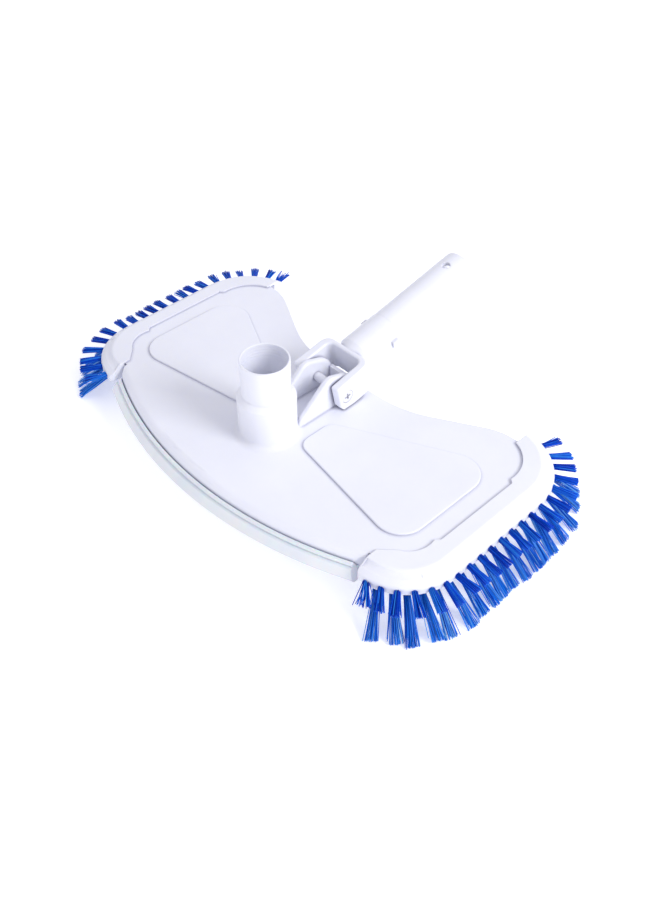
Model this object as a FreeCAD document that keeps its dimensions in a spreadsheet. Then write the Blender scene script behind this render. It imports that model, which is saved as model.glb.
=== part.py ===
import FreeCAD, Part

import os
import re

import Sketcher
from FreeCAD import Rotation, Vector

# Manual pool vacuum head: a half-moon deck with a hose tail, two side brush bars, a soft
# front bumper, ballast in both wings and a pole handle that swings on a cross pin.
#
# Every piece is drawn in the head's design frame, in millimetres: the origin is where the
# hose tail's axis meets the deck's top face, X points to the right brush, Y to the handle
# and Z up. PLACE_Y and PLACE_Z move it to the part's frame, whose origin is on the floor,
# under the middle of the whole head.

DIMENSIONS = {
    # deck: a 3 mm plate with a bowed front edge, a waisted rear edge and a skirt below it
    "deck_drop": 32.0,          # height of the deck's top face above the floor
    "deck_front": 59.3,         # front edge ahead of the tail's axis
    "deck_bow": 281.0,          # radius of the front edge
    "deck_roll": 6.0,           # radius of the front edge's roll
    "deck_plate": 3.0,
    "deck_depth": 12.0,         # deck's top face to the skirt's lower edge
    "deck_wall": 2.4,
    "corner_x": 117.5,          # front corner, cut off where the bumper ends
    "corner_cut_x": 113.0,
    "corner_cut_y": 29.5,
    "corner_back": 24.0,        # how far ahead of the tail's axis the skirt turns to the side
    "skirt_x": 139.6,
    "skirt_side_front": 4.0,
    "skirt_side_rear": 84.0,
    "skirt_rear_x": 118.5,
    "skirt_rear_round": 24.0,
    "wing_x": 115.8,            # centre of the round at the tip of each wing's rear edge
    "wing_rear": 107.4,
    "wing_round": 40.0,
    "waist_slope": 28.6,        # angle of the rear edge between the wing and the waist
    "waist_half": 25.0,
    "waist_rear": 74.5,
    "waist_round": 83.0,
    # raised panels over the ballast
    "panel_high": 1.6,
    "panel_rim": 0.7,
    "panel_in": 24.5,
    "panel_out": 126.5,
    "panel_front_in": 4.3,
    "panel_front_out": 12.9,
    "panel_rear_in": 31.6,
    "panel_rear_out": 82.6,
    "panel_round_in": 9.0,
    "panel_round_out": 17.0,
    # hose tail: 1 1/4 inch hose on the upper step, 1 1/2 inch hose on the lower one
    "tail_upper_dia": 31.75,
    "tail_lower_dia": 38.1,
    "tail_bore": 25.4,
    "tail_mouth": 29.2,         # bore at the rim, which narrows to the bore below the rings
    "tail_mouth_low": 46.0,
    "tail_bore_high": 26.0,
    "tail_high": 58.0,
    "tail_step_low": 28.9,
    "tail_step_high": 32.6,
    "tail_foot": 4.5,           # radius of the fillet at the tail's foot
    "tail_lip": 0.5,
    "tail_ring_pitch": 2.2,
    "tail_ring_deep": 0.15,
    # pivot bracket on the deck
    "ear_out": 13.7,
    "ear_in": 8.7,
    "ear_front": 13.6,          # inside the tail's wall
    "ear_front_high": 1.6,
    "ear_foot": 71.2,
    "ear_rear": 63.7,
    "ear_rear_high": 18.2,
    "ear_rear_round": 17.0,
    "ear_crest": 42.5,
    "ear_high": 25.6,
    "ear_crest_round": 8.5,
    "ear_round": 1.8,
    "pivot_y": 51.2,
    "pivot_z": 10.3,
    "pin_dia": 6.0,
    "pin_gap": 0.06,            # radial running clearance of the pin in the ears
    "web_front": 63.0,
    "web_rear": 66.0,
    "web_high": 12.0,
    "web_root": 0.5,            # how far the web's ends run into the ears
    # pole handle, drawn from the pivot along its own axis
    "rest_angle": 11.6,         # slope of the handle where it rests on the deck's rear edge
    "spigot_dia": 28.4,
    "pole_seat_dia": 28.0,      # the spigot's length beyond the nubs, where the pole slides on
    "spigot_end": 136.7,
    "spigot_bore": 22.4,
    "spigot_bore_start": 28.5,
    "spigot_round": 2.0,
    "clip_dia": 6.4,
    "clip_back": 15.0,          # clip hole's centre from the handle's end
    "nub_at": 53.0,
    "nub_long": 5.0,
    "nub_high": 4.5,
    "nub_proud": 1.4,
    "yoke_half": 21.4,
    "yoke_taper": 0.8,
    "yoke_slot": 14.6,
    "yoke_front": 7.5,
    "yoke_back": 24.5,
    "yoke_web": 3.5,
    "yoke_top": 12.0,
    "yoke_bottom": 11.7,
    "yoke_round": 7.0,          # outer rear corners
    "yoke_slot_round": 4.5,     # inner rear corners
    "yoke_front_round": 1.5,
    "yoke_edge": 1.5,
    "toe_start": 9.0,           # from here forwards the cheeks' lower edge slopes up
    "toe_turn": 5.0,
    "toe_turn_low": 8.4,
    "toe_low": 4.8,
    "blend_end": 29.0,          # end of the cone between the yoke and the spigot
    "pin_head_dia": 9.2,
    "pin_head_high": 1.6,
    "pin_seat": 2.0,            # depth of the seats for the pin's head and its push nut
    "pin_nut_high": 1.2,
    "pin_seat_gap": 0.2,
    "pin_end": 0.3,             # how far the pin stands out of its push nut
    "recess_arm": 2.4,          # cross recess in the pin's head
    "recess_half": 0.6,
    "recess_deep": 1.0,
    # front bumper
    "strip_end_top": 113.4,     # the ends are cut off on a slant
    "strip_end_low": 119.0,
    "strip_top": 4.6,
    "strip_low": 14.6,
    "strip_reach": 7.6,
    "strip_sweep": 54.0,
    "strip_rib_deep": 1.2,
    "strip_rib_top": 7.6,
    "strip_rib_low": 9.0,
    "strip_rib_gap": 0.1,
    "strip_seat": 1.6,          # height of the slant behind the bead
    "strip_bead": 2.9,          # reach of the bead along the top, and how far down it is
    "strip_bead_drop": 1.5,
    "strip_bead_round": 0.7,
    "strip_neck": 2.4,          # the neck below the bead
    "strip_neck_drop": 2.4,
    "strip_shoulder": 4.2,      # where the flared lip starts
    "strip_shoulder_drop": 2.9,
    "strip_lip_thick": 1.5,
    "strip_lip_edge": 1.2,
    "strip_lip_rise": 0.2,
    "strip_lip_flat": 3.0,
    "strip_foot": 3.2,
    # side brush bars
    "bar_front_x": 119.5,
    "bar_front_round": 40.0,
    "bar_rear_x": 113.5,
    "bar_rear_y": 78.0,
    "bar_rear_round": 46.0,
    "bar_top": 1.5,
    "bar_depth": 10.0,
    "bar_rim": 12.0,
    "bevel_run": 9.0,
    "bevel_drop": 6.5,
    "bevel_ease": 3.0,
    "bar_end_x": 119.6,
    "bar_end_round": 3.0,
    "bar_inner_x": 140.3,
    "bar_step": 2.7,            # sideways jog at each end of the straight inner edge
    "bar_jog": 2.5,
    "bar_inner_front": 9.0,
    "bar_inner_rear": 74.0,
    "bar_neck_x": 128.6,        # where the inner edge turns to the front end
    "bar_neck_y": 14.6,
    "bar_neck_round": 18.0,
    "bar_tip_y": 23.4,
    "bar_tail_y": 104.4,
    "bar_tail_round": 27.0,
    "shade_round": 6.0,         # shallow hollow along the bevel's front part
    "shade_deep": 0.9,
    "shade_at": 2.6,
    "shade_fade": 0.9,
    "shade_angle": 58.0,
    "shelf_thick": 3.0,
    "shelf_in": 140.8,
    "shelf_front": 3.0,
    "seat_angle": 75.0,         # how far the deck's edge follows the bar round its corners
    "slot_gap": 0.05,
    # brush rows
    "upper_front_angle": 84.0,
    "upper_rear_angle": 76.0,
    "lower_front_angle": 74.0,
    "lower_rear_angle": 50.0,
    "upper_long": 17.0,
    "upper_thick": 4.0,
    "upper_top": 5.6,
    "lower_root_in": 9.0,
    "lower_root_out": 3.5,
    "lower_tip_in": 17.0,
    "lower_tip_out": 23.0,
    # ballast under each raised panel
    "ballast_in": 36.0,
    "ballast_out": 118.0,
    "ballast_front_in": 9.0,
    "ballast_front_out": 4.0,
    "ballast_rear_in": 31.0,
    "ballast_rear_out": 62.0,
    "ballast_thick": 5.2,
    "pocket_depth": 8.8,
    "pocket_gap": 0.5,
    "gasket_thick": 0.8,
    "cover_thick": 2.0,
    "cover_side": 10.3,
    "cover_end": 4.5,
    "cover_corner": 3.0,
    "boss_clear": 0.2,          # between a weight and its pocket's floor
    # screws
    "screw_dia": 3.0,
    "screw_head_dia": 6.0,
    "screw_head_high": 1.6,
    "screw_gap": 0.02,
    "boss_dia": 6.4,
    "drive_long": 4.2,          # straight slot in each screw's head
    "drive_wide": 0.8,
    "drive_deep": 0.7,
    "shank_overlap": 1.0,       # how far down a sunk head its shank starts
    "pilot_rest": 1.0,          # between a cover screw's tip and the deck's plate
    "bar_screw_below": 0.4,     # a bar screw's tip below the deck's top face
}

# Where the screws stand, as (x, y) on the right-hand side.
COVER_SCREWS = [(29.7, 13.0), (29.7, 29.0), (124.3, 6.0), (124.3, 54.0)]
BAR_SCREWS = [(144.2, 12.0), (144.2, 41.0), (144.2, 70.0)]

FRONT_Y = "-(deck_front + strip_reach)"
REAR_Y = (
    "(pivot_y + (spigot_end - spigot_round) * cos(rest_angle)"
    " + (pole_seat_dia / 2 - spigot_round) * sin(rest_angle) + spigot_round)"
)
PLACE_Y = f"-({FRONT_Y} + {REAR_Y}) / 2"
PLACE_Z = "deck_drop"
BOW_CENTRE = "(deck_bow - deck_front)"

doc = FreeCAD.newDocument("pool_vacuum_head")
sheet = doc.addObject("Spreadsheet::Sheet", "dims")
for row, (alias, size) in enumerate(DIMENSIONS.items(), start=1):
    sheet.set(f"A{row}", alias)
    sheet.set(f"B{row}", str(size))
    sheet.setAlias(f"B{row}", alias)
doc.recompute()


# ---------------------------------------------------------------- sizes and expressions

def cells(text):
    """Turn the dimension names in an expression into references to the sheet."""
    return re.sub(r"\b[a-z]+(?:_[a-z]+)+\b", lambda match: "dims." + match.group(0), str(text))


def value(text):
    """Work out an expression in the sheet's dimensions."""
    return float(sheet.evalExpression(cells(text)))


def bind(item, prop, text):
    item.setExpression(prop, cells(text))


def mirrored(side, loop):
    """Put a right-hand outline on the given side: 1 is right, -1 is left."""
    if side > 0:
        return loop
    return [(f"-({c[0]})", c[1], *(f"-({radius})" for radius in c[2:])) for c in loop]


def both_sides(half, front_radius):
    """Close the right half of an outline, given from front to rear, with its mirror image."""
    left = []
    arriving = [(front_radius,)] + [corner[2:] for corner in half[:-1]]
    for corner, bend in zip(half, arriving):
        left.append((f"-({corner[0]})", corner[1], *bend))
    return half + left[::-1]


# ---------------------------------------------------------------- document helpers

def new_body(label):
    body = doc.addObject("PartDesign::Body", label)
    body.Label = label
    bind(body, "Placement.Base.y", PLACE_Y)
    bind(body, "Placement.Base.z", PLACE_Z)
    return body


def new_sketch(body, plane, offset="0"):
    """An empty sketch on one of the body's origin planes, moved along the plane's normal."""
    sketch = body.newObject("Sketcher::SketchObject", "sketch")
    origin_plane = next(item for item in body.Origin.OriginFeatures if item.Role == plane)
    sketch.AttachmentSupport = (origin_plane, [""])
    sketch.MapMode = "FlatFace"
    bind(sketch, "AttachmentOffset.Base.z", offset)
    return sketch


def arc_between(start, end, radius):
    """The short arc from start to end; it bends left when the radius is positive."""
    chord = end - start
    left = Vector(-chord.y, chord.x, 0).normalize()
    rise = (radius * radius - chord.Length ** 2 / 4) ** 0.5
    centre = (start + end) / 2 + left * (rise if radius > 0 else -rise)
    first, last = (start, end) if radius > 0 else (end, start)
    angles = [FreeCAD.Vector(1, 0, 0).getAngle(spot - centre) for spot in (first, last)]
    signed = [a if (spot - centre).y >= 0 else -a for a, spot in zip(angles, (first, last))]
    return Part.ArcOfCircle(Part.Circle(centre, Vector(0, 0, 1), abs(radius)), *signed)


def add_loop(sketch, corners):
    """Draw a closed outline. Each corner is (x, y) or (x, y, radius of the arc to the next)."""
    spots = [Vector(value(c[0]), value(c[1]), 0) for c in corners]
    base = sketch.GeometryCount
    starts, ends = [], []
    for index, corner in enumerate(corners):
        start, end = spots[index], spots[(index + 1) % len(spots)]
        bends_right = len(corner) == 3 and value(corner[2]) < 0
        if len(corner) == 3:
            sketch.addGeometry(arc_between(start, end, value(corner[2])))
        else:
            sketch.addGeometry(Part.LineSegment(start, end))
        starts.append(2 if bends_right else 1)
        ends.append(1 if bends_right else 2)
    for index, corner in enumerate(corners):
        after = (index + 1) % len(corners)
        joint = Sketcher.Constraint(
            "Coincident", base + index, ends[index], base + after, starts[after])
        sketch.addConstraint(joint)
        for kind, text in (("DistanceX", corner[0]), ("DistanceY", corner[1])):
            spot = Sketcher.Constraint(kind, -1, 1, base + index, starts[index], value(text))
            number = sketch.addConstraint(spot)
            bind(sketch, f"Constraints[{number}]", text)
        if len(corner) == 3:
            bend = Sketcher.Constraint("Radius", base + index, abs(value(corner[2])))
            number = sketch.addConstraint(bend)
            bind(sketch, f"Constraints[{number}]", f"abs({corner[2]})")


def add_circle(sketch, x, y, dia):
    circle = Part.Circle(Vector(value(x), value(y), 0), Vector(0, 0, 1), value(dia) / 2)
    index = sketch.addGeometry(circle)
    for kind, text in (("DistanceX", x), ("DistanceY", y)):
        number = sketch.addConstraint(Sketcher.Constraint(kind, -1, 1, index, 3, value(text)))
        bind(sketch, f"Constraints[{number}]", text)
    number = sketch.addConstraint(Sketcher.Constraint("Diameter", index, value(dia)))
    bind(sketch, f"Constraints[{number}]", dia)


def rectangle(x_low, y_low, x_high, y_high):
    return [(x_low, y_low), (x_high, y_low), (x_high, y_high), (x_low, y_high)]


def pad(body, sketch, length, both_ways=False):
    feature = body.newObject("PartDesign::Pad", "pad")
    feature.Profile = sketch
    if both_ways:
        feature.SideType = "Symmetric"
    bind(feature, "Length", length)
    return feature


def pocket(body, sketch, depth, both_ways=False):
    """Cut against the sketch's normal, or to both sides of it."""
    feature = body.newObject("PartDesign::Pocket", "pocket")
    feature.Profile = sketch
    if both_ways:
        feature.SideType = "Symmetric"
    bind(feature, "Length", depth)
    return feature


def turn(body, kind, sketch, axis, angle, centred=False):
    feature = body.newObject("PartDesign::" + kind, kind.lower())
    feature.Profile = sketch
    feature.ReferenceAxis = (sketch, [axis])
    feature.Midplane = centred
    bind(feature, "Angle", angle)
    return feature


def upright_axis(sketch, x):
    """A construction line along the sketch's vertical, at x: its first, so it is Axis0."""
    half = 5
    span = (Vector(value(x), -half, 0), Vector(value(x), half, 0))
    index = sketch.addGeometry(Part.LineSegment(*span), True)
    for end, height in ((1, -half), (2, half)):
        for kind, text in (("DistanceX", x), ("DistanceY", f"{height}")):
            spot = Sketcher.Constraint(kind, -1, 1, index, end, value(text))
            bind(sketch, f"Constraints[{sketch.addConstraint(spot)}]", text)


def round_edges(body, radius, wanted, kind="Fillet"):
    """Round or chamfer the edges of the body's solid whose middle point is wanted."""
    doc.recompute()
    base = body.Tip
    names = []
    for index, edge in enumerate(base.Shape.Edges, start=1):
        middle = edge.valueAt((edge.FirstParameter + edge.LastParameter) / 2)
        if wanted(edge, middle):
            names.append(f"Edge{index}")
    if not names:
        raise RuntimeError(f"{body.Label}: no edge to round in {base.Name} {base.State}")
    feature = body.newObject("PartDesign::" + kind, kind.lower())
    feature.Base = (base, names)
    bind(feature, "Radius" if kind == "Fillet" else "Size", radius)
    doc.recompute()
    return feature


def near(first, second, tolerance=0.05):
    return abs(first - second) < tolerance


# ---------------------------------------------------------------- deck shell

def wing_edge(inset):
    """The rear edge from the wing's tip to the waist, moved inwards by inset."""
    return [
        ("wing_x", f"wing_rear - ({inset})", f"wing_round - ({inset})"),
        (f"wing_x - (wing_round - ({inset})) * sin(waist_slope)",
         f"wing_rear - wing_round + (wing_round - ({inset})) * cos(waist_slope)"),
        (f"waist_half + (waist_round + ({inset})) * sin(waist_slope)",
         f"waist_rear + waist_round - (waist_round + ({inset})) * cos(waist_slope)",
         f"-(waist_round + ({inset}))"),
        ("waist_half", f"waist_rear - ({inset})"),
    ]


def bow_y(x, inset):
    return f"{BOW_CENTRE} - sqrt((deck_bow - ({inset}))^2 - ({x})^2)"


def deck_outline():
    seat_round = "(bar_front_round - bar_rim)"
    rear_round = "(bar_rear_round - bar_rim)"
    tip_x = f"bar_rear_x + {rear_round} * cos(seat_angle)"
    half = [
        ("corner_cut_x", bow_y("corner_cut_x", "0")),
        ("corner_x", "-corner_cut_y"),
        ("corner_x", f"-{seat_round} * sin(seat_angle)"),
        (f"bar_front_x + {seat_round} * cos(seat_angle)",
         f"-{seat_round} * sin(seat_angle)", seat_round),
        (f"bar_front_x + {seat_round}", "0"),
        (f"bar_rear_x + {rear_round}", "bar_rear_y", rear_round),
        (tip_x, f"bar_rear_y + {rear_round} * sin(seat_angle)"),
        (tip_x, "wing_rear"),
    ] + wing_edge("0")
    return both_sides(half, "deck_bow")


def skirt_outline(inset):
    corner = f"corner_x - ({inset})"
    cut = f"corner_cut_x - ({inset})"
    half = [
        (cut, bow_y(cut, inset)),
        (corner, f"-corner_cut_y + ({inset})"),
        (corner, "-corner_back"),
        (f"skirt_x - ({inset})", "-skirt_side_front"),
        (f"skirt_x - ({inset})", "skirt_side_rear", f"skirt_rear_round - ({inset})"),
        ("skirt_rear_x", f"wing_rear - ({inset})"),
    ] + wing_edge(inset)
    return both_sides(half, f"deck_bow - ({inset})")


def panel_outline(side):
    return mirrored(side, [
        ("panel_in", "panel_front_in"),
        ("panel_out", "-panel_front_out"),
        ("panel_out", "panel_rear_out"),
        ("panel_in", "panel_rear_in"),
    ])


def ballast_outline(side, margin_x, margin_y):
    """The ballast's four-sided outline, grown by the given margins."""
    x_in, x_out = f"ballast_in - ({margin_x})", f"ballast_out + ({margin_x})"
    return mirrored(side, [
        (x_in, f"ballast_front_in - ({margin_y})"),
        (x_out, f"-ballast_front_out - ({margin_y})"),
        (x_out, f"ballast_rear_out + ({margin_y})"),
        (x_in, f"ballast_rear_in + ({margin_y})"),
    ])


def add_panels(body):
    sketch = new_sketch(body, "XY_Plane")
    for side in (1, -1):
        add_loop(sketch, panel_outline(side))
    pad(body, sketch, "panel_high")
    middle = value("panel_high / 2")

    def upright_at(x):
        return lambda edge, spot: near(spot.z, middle) and near(abs(spot.x), value(x))

    round_edges(body, "panel_round_in", upright_at("panel_in"))
    round_edges(body, "panel_round_out", upright_at("panel_out"))
    top = value("panel_high")
    round_edges(body, "panel_rim", lambda edge, spot: near(spot.z, top, 0.01))


def add_tail(body):
    """The stepped hose tail; its bore narrows below a few shallow rings."""
    bore, mouth = "tail_bore / 2", "tail_mouth / 2"
    upper, lower = "tail_upper_dia / 2", "tail_lower_dia / 2"
    outline = [
        (bore, "-deck_plate"),
        (f"{lower} + tail_foot", "-deck_plate"),
        (f"{lower} + tail_foot", "0", "-tail_foot"),
        (lower, "tail_foot"),
        (lower, "tail_step_low"),
        (upper, "tail_step_high"),
        (upper, "tail_high - tail_lip", "tail_lip"),
        (f"{upper} - tail_lip", "tail_high"),
        (f"{mouth} + tail_lip / 2", "tail_high"),
        (mouth, "tail_high - tail_lip / 2"),
    ]
    rings, first = 4, 1.2
    for ring in range(rings):
        middle = f"tail_high - tail_ring_pitch * {first + ring}"
        outline += [
            (mouth, f"{middle} + tail_ring_pitch / 4"),
            (f"{mouth} + tail_ring_deep", middle),
            (mouth, f"{middle} - tail_ring_pitch / 4"),
        ]
    outline += [(mouth, "tail_mouth_low"), (bore, "tail_bore_high")]
    sketch = new_sketch(body, "XZ_Plane")
    add_loop(sketch, outline)
    turn(body, "Revolution", sketch, "V_Axis", "360")
    hole = new_sketch(body, "XY_Plane", "1")
    add_circle(hole, "0", "0", "tail_bore")
    pocket(body, hole, "1 + deck_plate")


def add_bracket(body):
    """Two ears with a web between their rear ends, bored for the pivot pin."""
    ear = [
        ("ear_front", "-deck_plate / 2"),
        ("ear_foot", "-deck_plate / 2"),
        ("ear_rear", "ear_rear_high"),
        ("ear_crest", "ear_high"),
        ("ear_front", "ear_front_high"),
    ]
    for side in (1, -1):
        inner = "ear_in" if side > 0 else "-ear_out"
        sketch = new_sketch(body, "YZ_Plane", inner)
        add_loop(sketch, ear)
        pad(body, sketch, "ear_out - ear_in")

    def ear_corner(y, z):
        return lambda edge, spot: near(spot.y, value(y)) and near(spot.z, value(z))

    round_edges(body, "ear_crest_round", ear_corner("ear_crest", "ear_high"))
    round_edges(body, "ear_rear_round", ear_corner("ear_rear", "ear_rear_high"))
    faces = [value("ear_in"), value("ear_out")]

    def crest(edge, spot):
        return any(near(abs(spot.x), x) for x in faces) and spot.z > value("pivot_z")

    round_edges(body, "ear_round", crest)
    web = new_sketch(body, "XY_Plane", "-deck_plate / 2")
    add_loop(web, rectangle("-ear_in - web_root", "web_front", "ear_in + web_root", "web_rear"))
    pad(body, web, "web_high + deck_plate / 2")
    bore = new_sketch(body, "YZ_Plane")
    add_circle(bore, "pivot_y", "pivot_z", "pin_dia + 2 * pin_gap")
    pocket(body, bore, "3 * ear_out", both_ways=True)


def add_ballast_pockets(body):
    walls = new_sketch(body, "XY_Plane", "-pocket_depth")
    bosses = new_sketch(body, "XY_Plane", "-(pocket_depth + gasket_thick)")
    pilots = new_sketch(body, "XY_Plane", "-deck_plate")
    for side in (1, -1):
        margin = "pocket_gap + deck_wall"
        add_loop(walls, ballast_outline(side, margin, margin))
        add_loop(walls, ballast_outline(side, "pocket_gap", "pocket_gap"))
        for x, y in COVER_SCREWS:
            add_circle(bosses, f"{side * x}", f"{y}", "boss_dia")
            add_circle(pilots, f"{side * x}", f"{y}", "screw_dia + 2 * screw_gap")
    pad(body, walls, "pocket_depth - deck_plate")
    pad(body, bosses, "pocket_depth + gasket_thick - deck_plate")
    pocket(body, pilots, "pocket_depth")


def make_deck_shell():
    body = new_body("deck_shell")
    plate = new_sketch(body, "XY_Plane", "-deck_plate")
    add_loop(plate, deck_outline())
    pad(body, plate, "deck_plate")
    skirt = new_sketch(body, "XY_Plane", "-deck_depth")
    add_loop(skirt, skirt_outline("0"))
    add_loop(skirt, skirt_outline("deck_wall"))
    pad(body, skirt, "deck_depth - deck_plate / 2")
    front = value("-deck_front")
    round_edges(body, "deck_roll", lambda edge, spot: near(spot.z, 0) and near(spot.y, front))
    add_ballast_pockets(body)
    groove = new_sketch(body, "YZ_Plane")
    upright_axis(groove, BOW_CENTRE)
    add_loop(groove, rectangle(
        "-deck_front - 1", "-strip_rib_low", "-deck_front + strip_rib_deep", "-strip_rib_top"))
    turn(body, "Groove", groove, "Axis0", "strip_sweep", centred=True)
    add_panels(body)
    add_bracket(body)
    add_tail(body)
    screw_holes = new_sketch(body, "XY_Plane", "0")
    for side in (1, -1):
        for x, y in BAR_SCREWS:
            add_circle(screw_holes, f"{side * x}", f"{y}", "screw_dia + 2 * screw_gap")
    pocket(body, screw_holes, "deck_plate + 1")


# ---------------------------------------------------------------- front bumper

def make_bumper_strip():
    """A soft strip bent round the bowed front edge, with a bead and a flared lower lip."""
    body = new_body("bumper_strip")
    section = new_sketch(body, "YZ_Plane")
    upright_axis(section, BOW_CENTRE)

    def out(distance):
        return f"-deck_front - ({distance})"

    add_loop(section, [
        (out("0"), "-strip_top - strip_seat"),
        (out("0"), "-strip_rib_top"),
        (out("-strip_rib_deep + strip_rib_gap"), "-strip_rib_top"),
        (out("-strip_rib_deep + strip_rib_gap"), "-strip_rib_low"),
        (out("0"), "-strip_rib_low"),
        (out("0"), "-strip_low + strip_foot"),
        (out("strip_reach - strip_lip_flat"), "-strip_low"),
        (out("strip_reach - strip_lip_edge"), "-strip_low + strip_lip_rise"),
        (out("strip_reach"), "-strip_low + strip_lip_thick"),
        (out("strip_shoulder"), "-strip_top - strip_shoulder_drop"),
        (out("strip_neck"), "-strip_top - strip_neck_drop"),
        (out("strip_bead"), "-strip_top - strip_bead_drop"),
        (out("strip_bead - strip_bead_round"), "-strip_top"),
        (out("strip_bead_round"), "-strip_top"),
    ])
    turn(body, "Revolution", section, "Axis0", "strip_sweep", centred=True)
    ends = new_sketch(body, "XZ_Plane")
    for side in (1, -1):
        beyond = "bar_front_x + bar_front_round"
        add_loop(ends, mirrored(side, [
            ("strip_end_top", "-strip_top"),
            ("strip_end_low", "-strip_low"),
            (beyond, "-strip_low - 1"),
            (beyond, "0"),
            ("strip_end_top", "0"),
        ]))
    pocket(body, ends, "deck_bow", both_ways=True)


# ---------------------------------------------------------------- brush bars and brushes

def bar_outline(side, run):
    """The bar's outline, with its outer edge moved inwards by run."""
    front, rear = f"bar_front_round - ({run})", f"bar_rear_round - ({run})"
    end_out = "bar_end_x - bar_rear_x"
    return mirrored(side, [
        ("bar_front_x", f"-({front})", front),
        (f"bar_front_x + {front}", "0"),
        (f"bar_rear_x + {rear}", "bar_rear_y", rear),
        ("bar_end_x", f"bar_rear_y + sqrt(({rear})^2 - ({end_out})^2)"),
        ("bar_end_x", "bar_tail_y", "-bar_tail_round"),
        ("bar_inner_x - bar_step", "bar_inner_rear + bar_jog"),
        ("bar_inner_x", "bar_inner_rear"),
        ("bar_inner_x", "bar_inner_front"),
        ("bar_inner_x - bar_step", "bar_inner_front - bar_jog", "-bar_neck_round"),
        ("bar_neck_x", "-bar_neck_y"),
        ("bar_front_x", "-bar_tip_y"),
    ])


def seat_outline(side):
    """The space that the deck's edge fills under the bar's top flange."""
    front = "(bar_front_round - bar_rim + slot_gap)"
    rear = "(bar_rear_round - bar_rim + slot_gap)"
    inside = "wing_x - 10"
    return mirrored(side, [
        ("bar_front_x", f"-{front}", front),
        (f"bar_front_x + {front}", "0"),
        (f"bar_rear_x + {rear}", "bar_rear_y", rear),
        ("bar_rear_x", f"bar_rear_y + {rear}"),
        (inside, f"bar_rear_y + {rear}"),
        (inside, f"-{front}"),
    ])


def make_brush_bar(side, word):
    body = new_body(word + "_brush_bar")
    rim = new_sketch(body, "XY_Plane", "-bar_depth")
    add_loop(rim, bar_outline(side, "0"))
    pad(body, rim, "bar_depth + bar_top - bevel_drop")
    shoulder = new_sketch(body, "XY_Plane", "bar_top - bevel_drop")
    add_loop(shoulder, bar_outline(side, "0"))
    plateau = new_sketch(body, "XY_Plane", "bar_top")
    add_loop(plateau, bar_outline(side, "bevel_run"))
    bevel = body.newObject("PartDesign::AdditiveLoft", "bevel")
    bevel.Profile = shoulder
    bevel.Sections = [plateau]
    bevel.Ruled = True
    heights = [value("bar_top - bevel_drop"), value("bar_top")]
    front_end_y, rear_end_y = -20, 108

    def outer_rim(edge, spot):
        from_front = (spot.x * side - value("bar_front_x")) ** 2 + spot.y ** 2
        from_rear = (spot.x * side - value("bar_rear_x")) ** 2 + (spot.y - value("bar_rear_y")) ** 2
        outside = max(from_front, from_rear) ** 0.5 > value("bar_front_round - bevel_run - 2")
        beyond_end = spot.x * side > value("bar_end_x") + 1
        clear = spot.x * side > value("bar_inner_x") + 2 or not front_end_y < spot.y < rear_end_y
        return any(near(spot.z, z) for z in heights) and outside and beyond_end and clear

    round_edges(body, "bevel_ease", outer_rim)
    seat = new_sketch(body, "XY_Plane", "0")
    add_loop(seat, seat_outline(side))
    pocket(body, seat, "bar_depth")
    shelf = new_sketch(body, "XY_Plane", "-deck_plate - slot_gap - shelf_thick")
    outer = "bar_front_x + bar_front_round - bar_rim + 1"
    add_loop(shelf, mirrored(side, rectangle("shelf_in", "shelf_front", outer, "bar_rear_y")))
    pad(body, shelf, "shelf_thick")
    holes = new_sketch(body, "XY_Plane", "-deck_plate + 1")
    for x, y in BAR_SCREWS:
        add_circle(holes, f"{side * x}", f"{y}", "screw_dia + 2 * screw_gap")
    pocket(body, holes, "shelf_thick + 2")
    round_front_end(body, side)
    add_shade(body, side)


def round_front_end(body, side):
    """Take the corner off between the bar's outer edge and its front end face."""
    inside = "(bar_front_round - bar_end_round)"
    down = f"sqrt({inside}^2 - bar_end_round^2)"
    foot_x = f"bar_front_x + bar_front_round * bar_end_round / {inside}"
    corner = new_sketch(body, "XY_Plane", "bar_top + 1")
    add_loop(corner, mirrored(side, [
        ("bar_front_x - 1", f"-{down}"),
        ("bar_front_x", f"-{down}", "bar_end_round"),
        (foot_x, f"-bar_front_round * {down} / {inside}"),
        (foot_x, "-bar_front_round - 1"),
        ("bar_front_x - 1", "-bar_front_round - 1"),
    ]))
    pocket(body, corner, "bar_depth + bar_top + 2")


def add_shade(body, side):
    """A shallow hollow along the bevel that fades out away from the bar's front end."""
    slant = "sqrt(bevel_run^2 + bevel_drop^2)"
    above = "(shade_round - shade_deep)"
    reach = f"bar_front_round - bevel_run + shade_at + {above} * bevel_drop / {slant}"
    height = f"bar_top - shade_at * bevel_drop / bevel_run + {above} * bevel_run / {slant}"
    hollow = new_sketch(body, "YZ_Plane", f"{side} * (bar_front_x + shade_fade)")
    upright_axis(hollow, "shade_fade")
    add_circle(hollow, f"-({reach})", height, "2 * shade_round")
    shade = turn(body, "Groove", hollow, "Axis0", "shade_angle")
    shade.Reversed = side < 0


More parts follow.
